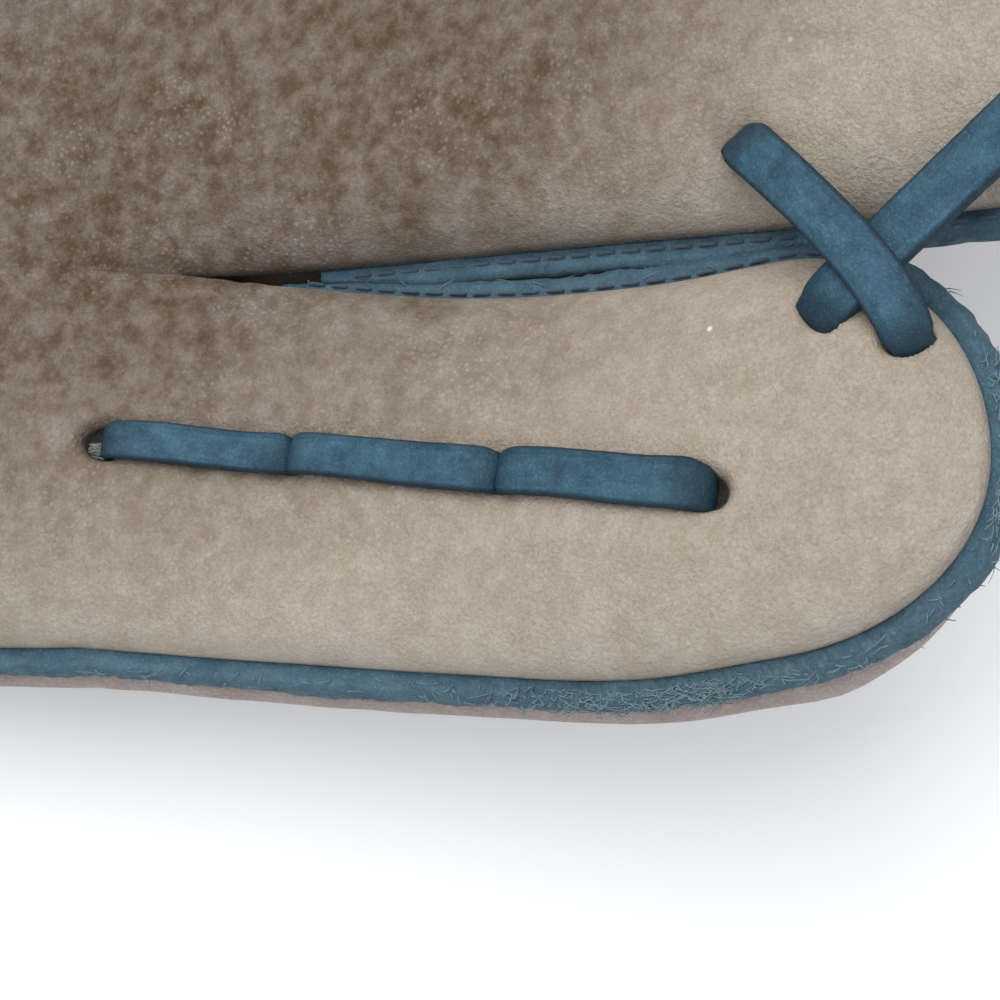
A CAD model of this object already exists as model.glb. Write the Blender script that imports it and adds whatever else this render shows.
"""A baseball glove for the left hand, lying on its back with the pocket up, seen close over the little finger.

The leather is worked out flat and then cupped, as in the part's source: u runs across the hand from the thumb to
the little finger, v from the heel to the fingertips, and w is the height over the seam surface.
"""

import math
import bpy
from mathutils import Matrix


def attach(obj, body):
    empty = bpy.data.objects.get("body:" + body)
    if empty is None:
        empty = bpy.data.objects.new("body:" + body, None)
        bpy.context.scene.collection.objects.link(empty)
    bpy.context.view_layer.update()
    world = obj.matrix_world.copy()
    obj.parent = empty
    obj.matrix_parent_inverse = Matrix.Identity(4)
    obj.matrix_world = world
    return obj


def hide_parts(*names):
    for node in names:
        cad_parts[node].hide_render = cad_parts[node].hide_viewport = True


bl_info = {
    "name": "Baseball glove",
    "version": (1, 0, 0),
    "blender": (4, 5, 0),
    "location": "View3D > Sidebar > Glove",
    "description": "Builds a worn leather fielding glove around its CAD frame",
    "category": "Object",
}

import bpy
import numpy as np
from mathutils import Matrix, Vector

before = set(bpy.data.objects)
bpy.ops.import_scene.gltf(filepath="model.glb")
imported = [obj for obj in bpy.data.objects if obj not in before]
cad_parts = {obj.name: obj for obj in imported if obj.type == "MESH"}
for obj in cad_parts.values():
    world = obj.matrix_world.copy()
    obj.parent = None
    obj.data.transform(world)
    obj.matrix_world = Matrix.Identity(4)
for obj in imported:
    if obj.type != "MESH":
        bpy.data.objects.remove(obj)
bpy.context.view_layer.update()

# Sizes of the frame, in millimetres
FINGER_WALL = 3.6
PALM_WALL = 7.0
BACK_WALL = 2.6
SEAM_RIM = 3.6
WELT_THICK = 3.0
WELT_PROUD = 2.6
WELT_INSET = 3.0
CLEARANCE = 0.3
PLAY = 0.12
LACE_WIDTH = 5.5
LACE_THICK = 2.2
BINDING_WALL = 1.6
WEB_THICK = 5.0
STRAP_THICK = 3.0
FINGER_FRONT_HEIGHT = 9.0
PALM_FRONT_HEIGHT = 14.0
FINGER_BACK_HEIGHT = 15.0
PALM_BACK_HEIGHT = 17.0
REST_HEIGHT = 16.5
ORIGIN = np.array([-34.305233, 139.725568, 0.0])
CUP = {"thumb_flat": 25.0, "thumb_radius": 145.0, "little_flat": 10.0, "little_radius": 260.0}
CURL = {"start": 110.0, "tip_radius": 330.0, "heel_radius": 500.0}
POCKET = {"u": -45.0, "v": 125.0, "reach": 48.0, "depth": 6.0}
HEEL_EDGES = [-62, -36, -12, 12, 36, 62]
KNUCKLE_EDGES = [0, -100, -51, -4, 43, 97.3]
CROTCH = {"u": -10.0, "v": 140.0, "droop": 0.0016}
HEEL_NOTCH = 6.0
THUMB_OUTER = {"u": -149.0, "v": 69.0, "swell_u": -111.0, "swell_v": 14.0}
PALM_ROWS = [0, 0.1, 0.22, 0.36, 0.52, 0.67, 0.81, 0.92, 1]
THUMB_ROW = 6
OPENING_ROW = 4
CROTCH_ROW = 8
FIRST_STALL_ROW = 0.14
GROUND = {"from": 86.0, "to": 100.0}
# Shares of a stall's length, and of its half width on the thumb side and on the other side
USUAL_OUTLINE = [
    (0, 1, 1), (0.2, 0.96, 0.98), (0.42, 0.93, 0.97), (0.65, 0.98, 1), (0.8, 1.02, 1.02), (1, 1.02, 1.02),
]
LITTLE_OUTLINE = [
    (0, 1, 1), (0.2, 0.98, 1.03), (0.42, 0.925, 1.04), (0.65, 0.96, 1.02), (0.8, 1.03, 0.9), (1, 0.99, 0.82),
]
# Length, lean towards the thumb in degrees, half width, bend, outline
STALLS = {
    "thumb": (134.0, 34.0, 32.0, -5.0, USUAL_OUTLINE),
    "index": (142.0, 4.5, 24.5, -1.0, USUAL_OUTLINE),
    "middle": (148.0, 1.5, 23.5, 0.0, USUAL_OUTLINE),
    "ring": (140.0, -1.0, 23.5, 0.0, USUAL_OUTLINE),
    "little": (118.0, -5.2, 27.0, 4.4, LITTLE_OUTLINE),
}
NAMES = list(STALLS)
SEAM = WELT_THICK / 2 + CLEARANCE
FRONT_FLATNESS = 3.0
BACK_FLATNESS = 2.4
TIP_FLATNESS = 2.3
# The power that rounds a panel's section off towards its borders
SIDE_ROUNDING = 0.48


def smooth(x):
    x = np.clip(x, 0, 1)
    return x * x * (3 - 2 * x)


def lerp(a, b, share):
    return a + (b - a) * share


def bump(x, reach):
    """1 at nought, falling softly to nothing at a few times the reach."""
    return np.exp(-((np.asarray(x) / reach) ** 2))


class Ripple:
    """Soft uneven relief: a fixed sum of waves round one wavelength, about -1 to 1."""

    def __init__(self, wavelength, seed, waves=14):
        rng = np.random.default_rng(seed)
        turn = rng.uniform(0, 2 * math.pi, waves)
        number = 2 * math.pi / (wavelength * rng.uniform(0.7, 1.5, waves))
        self.step = np.stack([np.cos(turn) * number, np.sin(turn) * number])
        self.phase = rng.uniform(0, 2 * math.pi, waves)
        self.scale = math.sqrt(2 / waves) * 0.7

    def __call__(self, x, y):
        reach = np.asarray(x)[..., None] * self.step[0] + np.asarray(y)[..., None] * self.step[1]
        return np.cos(reach + self.phase).sum(axis=-1) * self.scale


def arc(length, radius):
    angle = length / radius
    return radius * np.sin(angle), radius * (1 - np.cos(angle))


def seam_point(u, v):
    u, v = np.broadcast_arrays(np.asarray(u, float), np.asarray(v, float))
    x, z = u.copy(), np.full(u.shape, REST_HEIGHT)
    run, rise = arc(u - CUP["little_flat"], CUP["little_radius"])
    over = u > CUP["little_flat"]
    x, z = np.where(over, CUP["little_flat"] + run, x), np.where(over, z + rise, z)
    run, rise = arc(-u - CUP["thumb_flat"], CUP["thumb_radius"])
    over = u < -CUP["thumb_flat"]
    x, z = np.where(over, -CUP["thumb_flat"] - run, x), np.where(over, z + rise, z)
    run, rise = arc(v - CURL["start"], np.where(v > CURL["start"], CURL["tip_radius"], CURL["heel_radius"]))
    away = ((u - POCKET["u"]) ** 2 + (v - POCKET["v"]) ** 2) / POCKET["reach"] ** 2
    return np.stack([x, CURL["start"] + run, z + rise - POCKET["depth"] * np.exp(-away)], axis=-1)


def seam_normal(u, v):
    step = 0.5
    across = seam_point(u + step, v) - seam_point(u - step, v)
    along = seam_point(u, v + step) - seam_point(u, v - step)
    normal = np.cross(across, along)
    return normal / np.linalg.norm(normal, axis=-1, keepdims=True)


def place(u, v, w, floor=0.0):
    """A point w over the seam surface and on or above a floor height, in the frame's millimetres."""
    point = seam_point(u, v) + seam_normal(u, v) * np.asarray(w, float)[..., None]
    point[..., 2] = np.maximum(point[..., 2], floor)
    return point - ORIGIN


def heel_line(u):
    return HEEL_NOTCH * (1 - (u / HEEL_EDGES[5]) ** 2)


def palm_edge(edge, row):
    """A point on the border between two palm strips, edge 0 being the thumb's outer edge."""
    row = np.asarray(row, float)
    if edge == 0:
        s = (row / THUMB_ROW)[..., None]
        start = np.array([HEEL_EDGES[0], heel_line(HEEL_EDGES[0])])
        swell = np.array([THUMB_OUTER["swell_u"], THUMB_OUTER["swell_v"]])
        end = np.array([THUMB_OUTER["u"], THUMB_OUTER["v"]])
        return lerp(lerp(start, swell, s), lerp(swell, end, s), s)
    share = np.interp(row, range(len(PALM_ROWS)), PALM_ROWS)
    u = lerp(HEEL_EDGES[edge], KNUCKLE_EDGES[edge], np.sin(share * math.pi / 2))
    crotch = CROTCH["v"] - CROTCH["droop"] * (u - CROTCH["u"]) ** 2
    return np.stack([u, lerp(heel_line(u), crotch, share)], axis=-1)


def read_outline(table, along, column):
    """The outline's table as a smooth curve through its rows."""
    knots = np.array([row[0] for row in table], float)
    values = np.array([row[column] for row in table], float)
    slopes = np.gradient(values, knots)
    slopes[0] = slopes[-1] = 0
    k = np.clip(np.searchsorted(knots, along) - 1, 0, len(knots) - 2)
    width = knots[k + 1] - knots[k]
    x = np.clip((along - knots[k]) / width, 0, 1)
    rise = values[k] * (1 + 2 * x) * (1 - x) ** 2 + values[k + 1] * x * x * (3 - 2 * x)
    return rise + width * (slopes[k] * x * (1 - x) ** 2 - slopes[k + 1] * x * x * (1 - x))


class Strip:
    """A strip from the heel to a stall's tip. Its parameter q counts the palm's rows and then adds the share
    of the stall's length."""

    def __init__(self, name):
        self.name = name
        self.number = NAMES.index(name)
        self.length, lean, self.half, self.bend, self.outline = STALLS[name]
        self.crotch = THUMB_ROW if name == "thumb" else CROTCH_ROW
        left, right = (palm_edge(self.number + k, self.crotch) for k in (0, 1))
        self.root = (left + right) / 2
        lean = math.radians(lean)
        self.axis = np.array([-math.sin(lean), math.cos(lean)])
        self.across = np.array([math.cos(lean), math.sin(lean)])
        self.root_half = -(left - self.root) @ self.across
        self.root_slant = (right - self.root) @ self.axis
        self.end = self.crotch + 1.0

    def tip_round(self, along):
        past = np.clip(1 - (1 - along) * self.length / self.half, 0, 1)
        return np.sqrt(np.maximum(0, 1 - past**TIP_FLATNESS))

    def on_axis(self, along, aside):
        return self.root + self.axis * along + self.across * aside

    def at(self, q):
        """The strip's two borders and all that shapes its leather, at each q."""
        q = np.atleast_1d(np.asarray(q, float))
        row = np.minimum(q, self.crotch)
        along = np.clip(q - self.crotch, 0, 1)
        stall = along > 0
        settle = smooth(along / 0.3)
        close = self.tip_round(along)
        half = lerp(self.root_half, self.half, settle) * close
        slant = self.root_slant * (1 - settle)
        bend = self.bend * along**3
        sides = []
        for side, column in ((-1, 1), (1, 2)):
            share = read_outline(self.outline, along, column)
            free = (self.root + self.axis * (self.length * along + side * slant)[:, None]
                    + self.across * (side * half * share - bend)[:, None])
            sides.append(np.where(stall[:, None], free, palm_edge(self.number + (side > 0), row)))
        away = np.clip(along / FIRST_STALL_ROW, 0, 1)
        left_free, right_free = away, away
        if self.name == "thumb":
            left_free = np.ones_like(q)
        if self.name == "index":
            left_free = np.clip(q - THUMB_ROW, 0, 1)
        if self.name == "little":
            right_free = np.ones_like(q)
        left_crotch = THUMB_ROW if self.name == "index" else self.crotch
        knuckle = smooth((np.interp(row, range(len(PALM_ROWS)), PALM_ROWS) - 0.6) / 0.4)
        knuckle = np.where(stall, lerp(knuckle, 1, away), knuckle)
        return {
            "left": sides[0], "right": sides[1], "left_free": left_free, "right_free": right_free,
            "left_crease": np.clip(1 - (left_crotch - row) / 3, 0, 1) ** 2,
            "right_crease": np.clip(1 - (self.crotch - row) / 3, 0, 1) ** 2,
            "front": lerp(PALM_FRONT_HEIGHT, FINGER_FRONT_HEIGHT, knuckle),
            "wall": lerp(PALM_WALL, FINGER_WALL, knuckle),
            "back": lerp(PALM_BACK_HEIGHT, FINGER_BACK_HEIGHT, knuckle),
            "close": close, "shrink": lerp(1, half / self.half, away), "along": along,
        }

    def samples(self, palm_step, stall_step, first=0.0):
        """Values of q about a step apart, closing in round the tip."""
        palm = np.arange(first, self.crotch, palm_step)
        start = 1 - self.half / self.length
        stall = np.linspace(0, start, max(int(start * self.length / stall_step), 4), endpoint=False)
        turn = np.linspace(0, math.pi / 2, max(int(1.35 * self.half / stall_step), 6))
        past = np.sin(turn) ** (2 / TIP_FLATNESS)
        past[-1] = 1
        tip = 1 - (1 - past) * self.half / self.length
        return np.concatenate([palm, self.crotch + stall, self.crotch + tip])


STRIPS = {name: Strip(name) for name in NAMES}


def row_heights(row, t, side):
    """Outer and inner heights over the seam for every q of a row table and every share t across."""
    column = {key: np.asarray(value)[:, None] for key, value in row.items() if key not in ("left", "right")}
    height = column["front"] if side > 0 else column["back"]
    wall = column["wall"] if side > 0 else BACK_WALL
    flatness = FRONT_FLATNESS if side > 0 else BACK_FLATNESS
    t = np.asarray(t, float)[None, :]
    grown = np.where(t < 0, column["left_crease"], column["right_crease"])
    free = np.where(t < 0, column["left_free"], column["right_free"])
    drop = lerp(grown * (1 - wall / height), 1, free)
    fall = 1 - np.maximum(0, 1 - np.abs(t) ** flatness) ** SIDE_ROUNDING
    outer = SEAM + height * (1 - drop * fall) * column["close"]
    share = np.minimum(1, height * drop / (height - wall))
    return outer, SEAM + np.maximum(0, height - wall) * (1 - share * fall) * column["close"]


def inset_sides(strip, row):
    """The borders set in by the sewn rim, where they are free."""
    width = np.linalg.norm(row["right"] - row["left"], axis=1)
    back = SEAM_RIM * smooth((row["along"] - 0.5) * 2)
    points = []
    for near, far, free in (("left", "right", "left_free"), ("right", "left", "right_free")):
        inset = np.minimum(SEAM_RIM * row["shrink"] / np.maximum(width, 1e-6), 0.5) * row[free]
        point = lerp(row[near], row[far], inset[:, None])
        points.append(point - strip.axis * (back * row[free])[:, None])
    return points


def locate(strip, point):
    """The q and the share across of template points in a strip."""
    point = np.asarray(point, float)
    low, high = np.zeros(len(point)), np.full(len(point), strip.end)
    for _ in range(22):
        half = (low + high) / 2
        row = strip.at(half)
        span, reach = row["right"] - row["left"], point - row["left"]
        before = span[:, 0] * reach[:, 1] - span[:, 1] * reach[:, 0] > 0
        low, high = np.where(before, half, low), np.where(before, high, half)
    row = strip.at(low)
    span, reach = row["right"] - row["left"], point - row["left"]
    share = (span * reach).sum(axis=1) / np.maximum((span * span).sum(axis=1), 1e-9)
    return low, np.clip(share * 2 - 1, -1, 1)


def skin_height(strip, point, side):
    """The signed height of the outer leather over the seam surface at template points."""
    q, t = locate(strip, point)
    rows = strip.at(q)
    outer = [row_heights({key: value[k:k + 1] for key, value in rows.items()}, t[k:k + 1], side)[0][0, 0]
             for k in range(len(q))]
    return side * np.array(outer)


def ground_at(v):
    """Round the wrist opening the back stays up by its binding."""
    share = smooth((GROUND["to"] - np.asarray(v)) / (GROUND["to"] - GROUND["from"]))
    return (BINDING_WALL + CLEARANCE + PLAY) * share


# Where each stall's lace begins and ends along its stall, how far aside it lies and how much it slants
STALL_LACES = {
    "little": {"from": -2.8, "to": 87.6, "aside": 1.6, "slant": 2.0},
    "thumb": {"from": 20.0, "to": 104.0, "aside": -1.0, "slant": 0.0},
}
TIP_LACE = {"near": 7.0, "near_edge": 7.5, "far": 21.0, "far_edge": 11.5, "rise": 3.0}
# The two fingers, and how far under the first one's tip the laces enter the second
TIP_PAIRS = [("little", "ring", -15.0, 27.0), ("ring", "middle", 0.0, 18.0), ("index", "middle", 0.0, 18.0)]
HEEL_LACE = {"reach": 44.0, "v": 17.0, "stitches": 4}


def stall_lace_ends(name):
    strip, lace = STRIPS[name], STALL_LACES[name]
    return (strip.on_axis(lace["from"], lace["aside"] - lace["slant"]),
            strip.on_axis(lace["to"], lace["aside"] + lace["slant"]))


def tip_lace_ends(first, second, second_near, second_far):
    """The two straps between two fingertips, each as its two holes."""
    a, b = STRIPS[first], STRIPS[second]
    turn = np.sign(b.root[0] - a.root[0])

    def hole(strip, along, side, edge):
        share = along / strip.length
        outline = read_outline(strip.outline, share, 1 if side < 0 else 2)
        half = strip.tip_round(share) * strip.half * outline
        return strip.on_axis(along, side * (half - edge) - strip.bend * share**3)

    def of_second(from_tip):
        level = a.on_axis(a.length - from_tip, 0)[1]
        return hole(b, (level - b.root[1]) / b.axis[1], -turn, TIP_LACE["far_edge"])

    return [(hole(a, a.length - TIP_LACE["far"], turn, TIP_LACE["far_edge"]), of_second(second_near)),
            (hole(a, a.length - TIP_LACE["near"], turn, TIP_LACE["near_edge"]), of_second(second_far))]


def sewn_lines():
    """Every lace that lies on the catching side, as its ends and its number of stitches."""
    lines = [(*stall_lace_ends(name), 3) for name in STALL_LACES]
    heel_ends = [np.array([side * HEEL_LACE["reach"], HEEL_LACE["v"]]) for side in (-1, 1)]
    lines.append((*heel_ends, HEEL_LACE["stitches"]))
    return lines


SEWN_LINES = sewn_lines()
TIP_HOLES = [(hole, side * (strap[1] - strap[0]) / np.linalg.norm(strap[1] - strap[0]))
             for pair in TIP_PAIRS for strap in tip_lace_ends(*pair) for hole, side in zip(strap, (1, -1))]
BACK_BELLY = 5.0
# A border that two strips share has no seam, so its seam counts as this far away
NO_SEAM = 40.0
# The pit that a sewn lace ends in: its size along and across the lace, its depth, and how far in it lies
PIT = {"long": 3.6, "wide": 2.9, "depth": 2.3, "first_in": 1.2, "last_in": 2.6}
TIP_PIT = {"long": 2.0, "wide": 3.0, "in": 2.6}
# The bed that a sewn lace has pressed: its depth and width, and the puffed leather on both sides of it
BED = {"depth": 0.55, "wide": 3.4, "puff": 0.5, "puff_aside": 6.5, "puff_wide": 3.2}
# The dimple where a lace goes in between two stitches
DIMPLE = {"depth": 0.9, "long": 2.6, "wide": 3.6}
PUCKER = {"pitch": 5.2, "depth": 0.16, "aside": 3.2}
# Creases of the palm: height up the hand, lean and depth
CREASES = ((139, 0.05, 0.5), (128, -0.09, 0.65), (95, 0.16, 0.7), (76, -0.12, 0.6))
BROAD, MIDDLING, SMALL, TINY = Ripple(34, 3), Ripple(13, 7), Ripple(5.5, 11), Ripple(2.4, 17)


def seam_distance(row, t):
    """How far each place of a strip is from its free border, in millimetres."""
    width = np.linalg.norm(row["right"] - row["left"], axis=1)[:, None]
    reach = (1 - np.abs(t))[None, :] * width / 2
    free = np.where(t[None, :] < 0, row["left_free"][:, None], row["right_free"][:, None])
    return reach + (1 - free) * NO_SEAM


def oval(u, v, centre, way, long, wide):
    """How far places are from the middle of an oval hole that is long along way: 1 is its rim."""
    reach = (u - centre[0]) * way[0] + (v - centre[1]) * way[1]
    aside = (v - centre[1]) * way[0] - (u - centre[0]) * way[1]
    return np.hypot(reach / long, aside / wide)


def lace_holes(u, v):
    """Each place's share of the way out of the nearest hole that a lace ends in: under 1 is in the hole."""
    away = np.full(np.shape(u), 9.0)
    for start, end, _ in SEWN_LINES:
        way = (end - start) / np.linalg.norm(end - start)
        for centre in (start + way * PIT["first_in"], end - way * PIT["last_in"]):
            away = np.minimum(away, oval(u, v, centre, way, PIT["long"], PIT["wide"]))
    for hole, way in TIP_HOLES:
        away = np.minimum(away, oval(u, v, hole + way * TIP_PIT["in"], way, TIP_PIT["long"], TIP_PIT["wide"]))
    return away


def palm_relief(u, v, seam):
    """How far the worn leather of the catching side stands over its plain form, in millimetres."""
    relief = 0.42 * BROAD(u, v) + 0.22 * MIDDLING(u, v) + 0.07 * SMALL(u, v)
    for start, end, stitches in SEWN_LINES:
        length = np.linalg.norm(end - start)
        way = (end - start) / length
        reach = (u - start[0]) * way[0] + (v - start[1]) * way[1]
        aside = (u - start[0]) * -way[1] + (v - start[1]) * way[0]
        inside = smooth((reach + 3) / 4) * smooth((length - reach + 3) / 4)
        relief = relief - BED["depth"] * inside * bump(aside, BED["wide"])
        relief = relief + BED["puff"] * inside * bump(np.abs(aside) - BED["puff_aside"], BED["puff_wide"])
        for k in range(stitches + 1):
            away = reach - length * k / stitches
            if 0 < k < stitches:
                out = (away / DIMPLE["long"]) ** 2 + (aside / DIMPLE["wide"]) ** 2
                relief = relief - DIMPLE["depth"] * np.exp(-(out**1.6))
            relief = relief - 0.5 * bump(away, 4.0) * bump(np.abs(aside) - 5, 4.5)
    for hole, _ in TIP_HOLES:
        relief = relief - 0.5 * np.exp(-((u - hole[0]) ** 2 + (v - hole[1]) ** 2) / 60)
    away = lace_holes(u, v)
    relief = relief - PIT["depth"] * np.exp(-(away**7)) + 0.22 * bump(away - 1.3, 0.3)
    # The leather draws in along the sewn seam, between one stitch and the next
    pucker = 0.5 + 0.5 * np.cos((u + v * 0.94) * 2 * math.pi / PUCKER["pitch"] + 1.3 * MIDDLING(u, v))
    relief = relief - PUCKER["depth"] * pucker * bump(seam - PUCKER["aside"], 1.8)
    # Creases where the hand folds, across the knuckles and round the pocket
    for number, (at, lean, deep) in enumerate(CREASES):
        bow = at + lean * u + 3.5 * np.sin(u / 21 + number * 2.1)
        away = (v - bow) / (1.6 + 0.5 * np.sin(u / 9 + number))
        strength = smooth(0.5 + 0.7 * np.sin(u / 26 + number * 1.7))
        fold = bump(away, 1.0) - 0.55 * bump(np.abs(away) - 2.2, 1.2)
        relief = relief - deep * strength * fold * smooth((100 - u) / 22)
    rim = smooth(seam / 2.5)
    return relief * lerp(0.15, 1, rim)


def back_relief(u, v, seam):
    relief = 0.5 * BROAD(u + 60, v) + 0.3 * MIDDLING(u, v + 40) + 0.08 * SMALL(u, v)
    return relief * smooth(seam / 2.5)


class Shell:
    """A mesh gathered from grids of points and closed into one wall. Each point is a pair: outer and inner."""

    def __init__(self):
        self.outer, self.inner, self.keys, self.cells, self.extra = [], [], {}, [], []

    def grid(self, outer, inner, extra, flip=False):
        """Adds a grid of points. extra holds each point's wear and pit values."""
        rows, columns = outer.shape[:2]
        outer, inner = outer.reshape(-1, 3), inner.reshape(-1, 3)
        extra = np.asarray(extra).reshape(-1, 2)
        rounded = np.round(outer * 200).astype(int)
        number = []
        for k, key in enumerate(map(tuple, rounded)):
            if key not in self.keys:
                self.keys[key] = len(self.outer)
                self.outer.append(outer[k])
                self.inner.append(inner[k])
                self.extra.append(extra[k])
            number.append(self.keys[key])
        number = np.array(number).reshape(rows, columns)
        corners = [number[:-1, :-1], number[:-1, 1:], number[1:, 1:], number[1:, :-1]]
        quads = np.stack(corners, axis=-1).reshape(-1, 4)
        self.cells.extend((quads[:, ::-1] if flip else quads).tolist())

    def mesh(self, name, materials):
        """The outer faces, the inner faces and the rims, in the first, second and third material."""
        outer, inner = np.array(self.outer), np.array(self.inner)
        shift = len(outer)
        faces, kinds, sides = [], [], {}
        for cell in self.cells:
            corners = [c for k, c in enumerate(cell) if c != cell[k - 1]]
            if len(set(corners)) < 3:
                continue
            faces += [corners, [c + shift for c in reversed(corners)]]
            kinds += [0, 1]
            for a, b in zip(corners, corners[1:] + corners[:1]):
                if (b, a) in sides:
                    del sides[b, a]
                else:
                    sides[a, b] = True
        for a, b in sides:
            faces.append([b, a, a + shift, b + shift])
            kinds.append(2)
        extra = np.concatenate([self.extra, np.zeros((shift, 2))])
        return make_mesh(name, np.concatenate([outer, inner]), faces, materials, kinds,
                         {"wear": extra[:, 0], "pit": extra[:, 1]})


def make_mesh(name, points, faces, materials, kinds=None, values=None, uv=None):
    """A mesh object at the origin from points in the frame's millimetres. uv holds one pair for each corner."""
    mesh = bpy.data.meshes.new(name)
    points = np.asarray(points, float) / 1000
    points[:, 2] = np.maximum(points[:, 2], 0)
    mesh.from_pydata(points.tolist(), [], [list(map(int, face)) for face in faces])
    for material in materials:
        mesh.materials.append(material)
    if kinds is not None:
        mesh.polygons.foreach_set("material_index", np.minimum(kinds, len(materials) - 1).astype(np.int32))
    for key, value in (values or {}).items():
        layer = mesh.attributes.new(key, "FLOAT", "POINT")
        layer.data.foreach_set("value", np.asarray(value, np.float32))
    if uv is not None:
        layer = mesh.uv_layers.new(name="UVMap")
        layer.data.foreach_set("uv", np.asarray(uv, np.float32).reshape(-1))
    mesh.polygons.foreach_set("use_smooth", np.full(len(mesh.polygons), True))
    mesh.validate()
    mesh.update()
    piece = bpy.data.objects.new(name, mesh)
    bpy.context.collection.objects.link(piece)
    return piece


def settle(piece, slot, *nodes):
    """Rides a finished piece on the glove, in the place of its CAD nodes."""
    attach(piece, "root")
    if nodes:
        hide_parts(*nodes)
    return piece


def across_samples(strip_half, height, flatness, step):
    """Shares across a panel, even along its rounded profile."""
    t = np.concatenate([np.linspace(0, 0.9, 400), 1 - np.geomspace(0.1, 1e-5, 400), [1]])
    h = np.maximum(0, 1 - t**flatness) ** SIDE_ROUNDING
    run = np.concatenate([[0], np.cumsum(np.hypot(np.diff(t) * strip_half, np.diff(h) * height))])
    count = max(int(run[-1] / step), 4)
    half = np.interp(np.linspace(0, run[-1], count + 1), run, t)
    half[-1] = 1
    return np.concatenate([-half[:0:-1], half])


def panel_grid(shell, strip, q, t, side, gap=0.0):
    """Adds one panel of a strip to a shell: side 1 is the catching side and -1 the back."""
    row = strip.at(q)
    outer_w, inner_w = row_heights(row, t, side)
    width = np.maximum(np.linalg.norm(row["right"] - row["left"], axis=1), 1e-6)
    low = (gap / width * (1 - row["left_free"]))[:, None]
    high = 1 - (gap / width * (1 - row["right_free"]))[:, None]
    share = lerp(low, high, ((t + 1) / 2)[None, :])[..., None]
    outer = lerp(row["left"][:, None], row["right"][:, None], share)
    left, right = inset_sides(strip, row)
    inner = lerp(left[:, None], right[:, None], share)
    u, v = outer[..., 0], outer[..., 1]
    seam = np.minimum(seam_distance(row, t), ((strip.end - q) * strip.length)[:, None] + 0 * t)
    relief = palm_relief(u, v, seam) if side > 0 else back_relief(u, v, seam)
    ground = ground_at(v) if side < 0 else 0
    if side < 0 and strip.name == "little":
        # The back's leather bellies out past the welt on the glove's outer side
        depth = np.clip((outer_w - SEAM) / row["back"][:, None], 0, 1)
        outward = smooth((t - 0.35) / 0.4)[None, :]
        belly = BACK_BELLY * np.sin(np.pi * depth) ** 0.8 * outward * row["close"][:, None]
        u, v = u + strip.across[0] * belly, v + strip.across[1] * belly
        inner = inner + strip.across * 0.9 * belly[..., None]
    top = place(u, v, side * (outer_w + relief), ground)
    floor = ground_at(inner[..., 1]) + BACK_WALL if side < 0 else 0
    bottom = place(inner[..., 0], inner[..., 1], side * inner_w, floor)
    wear = np.clip(1 - seam / 9, 0, 1) * (0.55 + 0.45 * MIDDLING(u, v))
    pit = np.exp(-(lace_holes(u, v) ** 7)) if side > 0 else np.zeros_like(u)
    shell.grid(top, bottom, np.stack([wear, pit], axis=-1), flip=side < 0)


# The palm's mesh: the step between points, the rows up to the crotches and the step of more rows by them
FINE_PALM = {"step": 0.68, "rows": 112, "by_crotch": 0.04}
QUICK_PALM = {"step": 1.7, "rows": 56, "by_crotch": 0.1}


def make_palm(materials, fine):
    """The catching side: one padded wall over the palm and all five stalls."""
    shell = Shell()
    mesh = FINE_PALM if fine else QUICK_PALM
    step = mesh["step"]
    palm_q = np.arange(0, CROTCH_ROW + 1e-9, CROTCH_ROW / mesh["rows"])
    by_crotch = np.arange(CROTCH_ROW - 1.2, CROTCH_ROW, mesh["by_crotch"])
    palm_q = np.unique(np.round(np.concatenate([palm_q, by_crotch, [THUMB_ROW]]), 6))
    for name, strip in STRIPS.items():
        # Only the little finger is near the camera
        strip_step = step if name == "little" else 3.4 * step
        t = across_samples(strip.half, FINGER_FRONT_HEIGHT, FRONT_FLATNESS, strip_step)
        own = palm_q[palm_q < strip.crotch - 1e-6]
        stall = strip.samples(1, strip_step, first=strip.crotch)
        panel_grid(shell, strip, np.concatenate([own, stall]), t, 1)
    return settle(shell.mesh("glove_palm", materials), "tan_leather", "palm_panel")


def make_back(name, materials):
    shell = Shell()
    strip = STRIPS[name]
    t = across_samples(strip.half, FINGER_BACK_HEIGHT, BACK_FLATNESS, 2.2)
    first = 0 if name in ("thumb", "little") else OPENING_ROW
    panel_grid(shell, strip, strip.samples(0.12, 2.2, first=first), t, -1, CLEARANCE)
    return settle(shell.mesh(f"glove_back_{name}", materials), "tan_leather", f"{name}_back")


# The q at which each welt begins on its left and its right side, and the q of the last border before it
WELT_STARTS = {
    "thumb": ((0, 6.14), (0, 6)), "index": ((7, 8.14), (6, 8)), "middle": ((8.14, 8.14), (8, 8)),
    "ring": ((8.14, 8.14), (8, 8)), "little": ((8.14, 0), (8, 0)),
}


def outline_of(name, before=False, step=1.0):
    """A stall's free outline, up its left side, round the tip and down its right side."""
    strip = STRIPS[name]
    starts = WELT_STARTS[name][1 if before else 0]
    sides = []
    for start, key in zip(starts, ("left", "right")):
        q = strip.samples(0.055 * step, step, first=min(start, strip.crotch))
        q = np.unique(np.append(q[q >= start], start))
        sides.append(strip.at(q)[key])
    return np.concatenate([sides[0], sides[1][-2::-1]])


def distance_to_line(points, line):
    a, span = line[:-1], np.diff(line, axis=0)
    reach = points[:, None] - a[None]
    share = np.clip((reach * span).sum(axis=-1) / np.maximum((span**2).sum(axis=-1), 1e-9), 0, 1)
    return np.linalg.norm(reach - span * share[..., None], axis=-1).min(axis=1)


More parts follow.
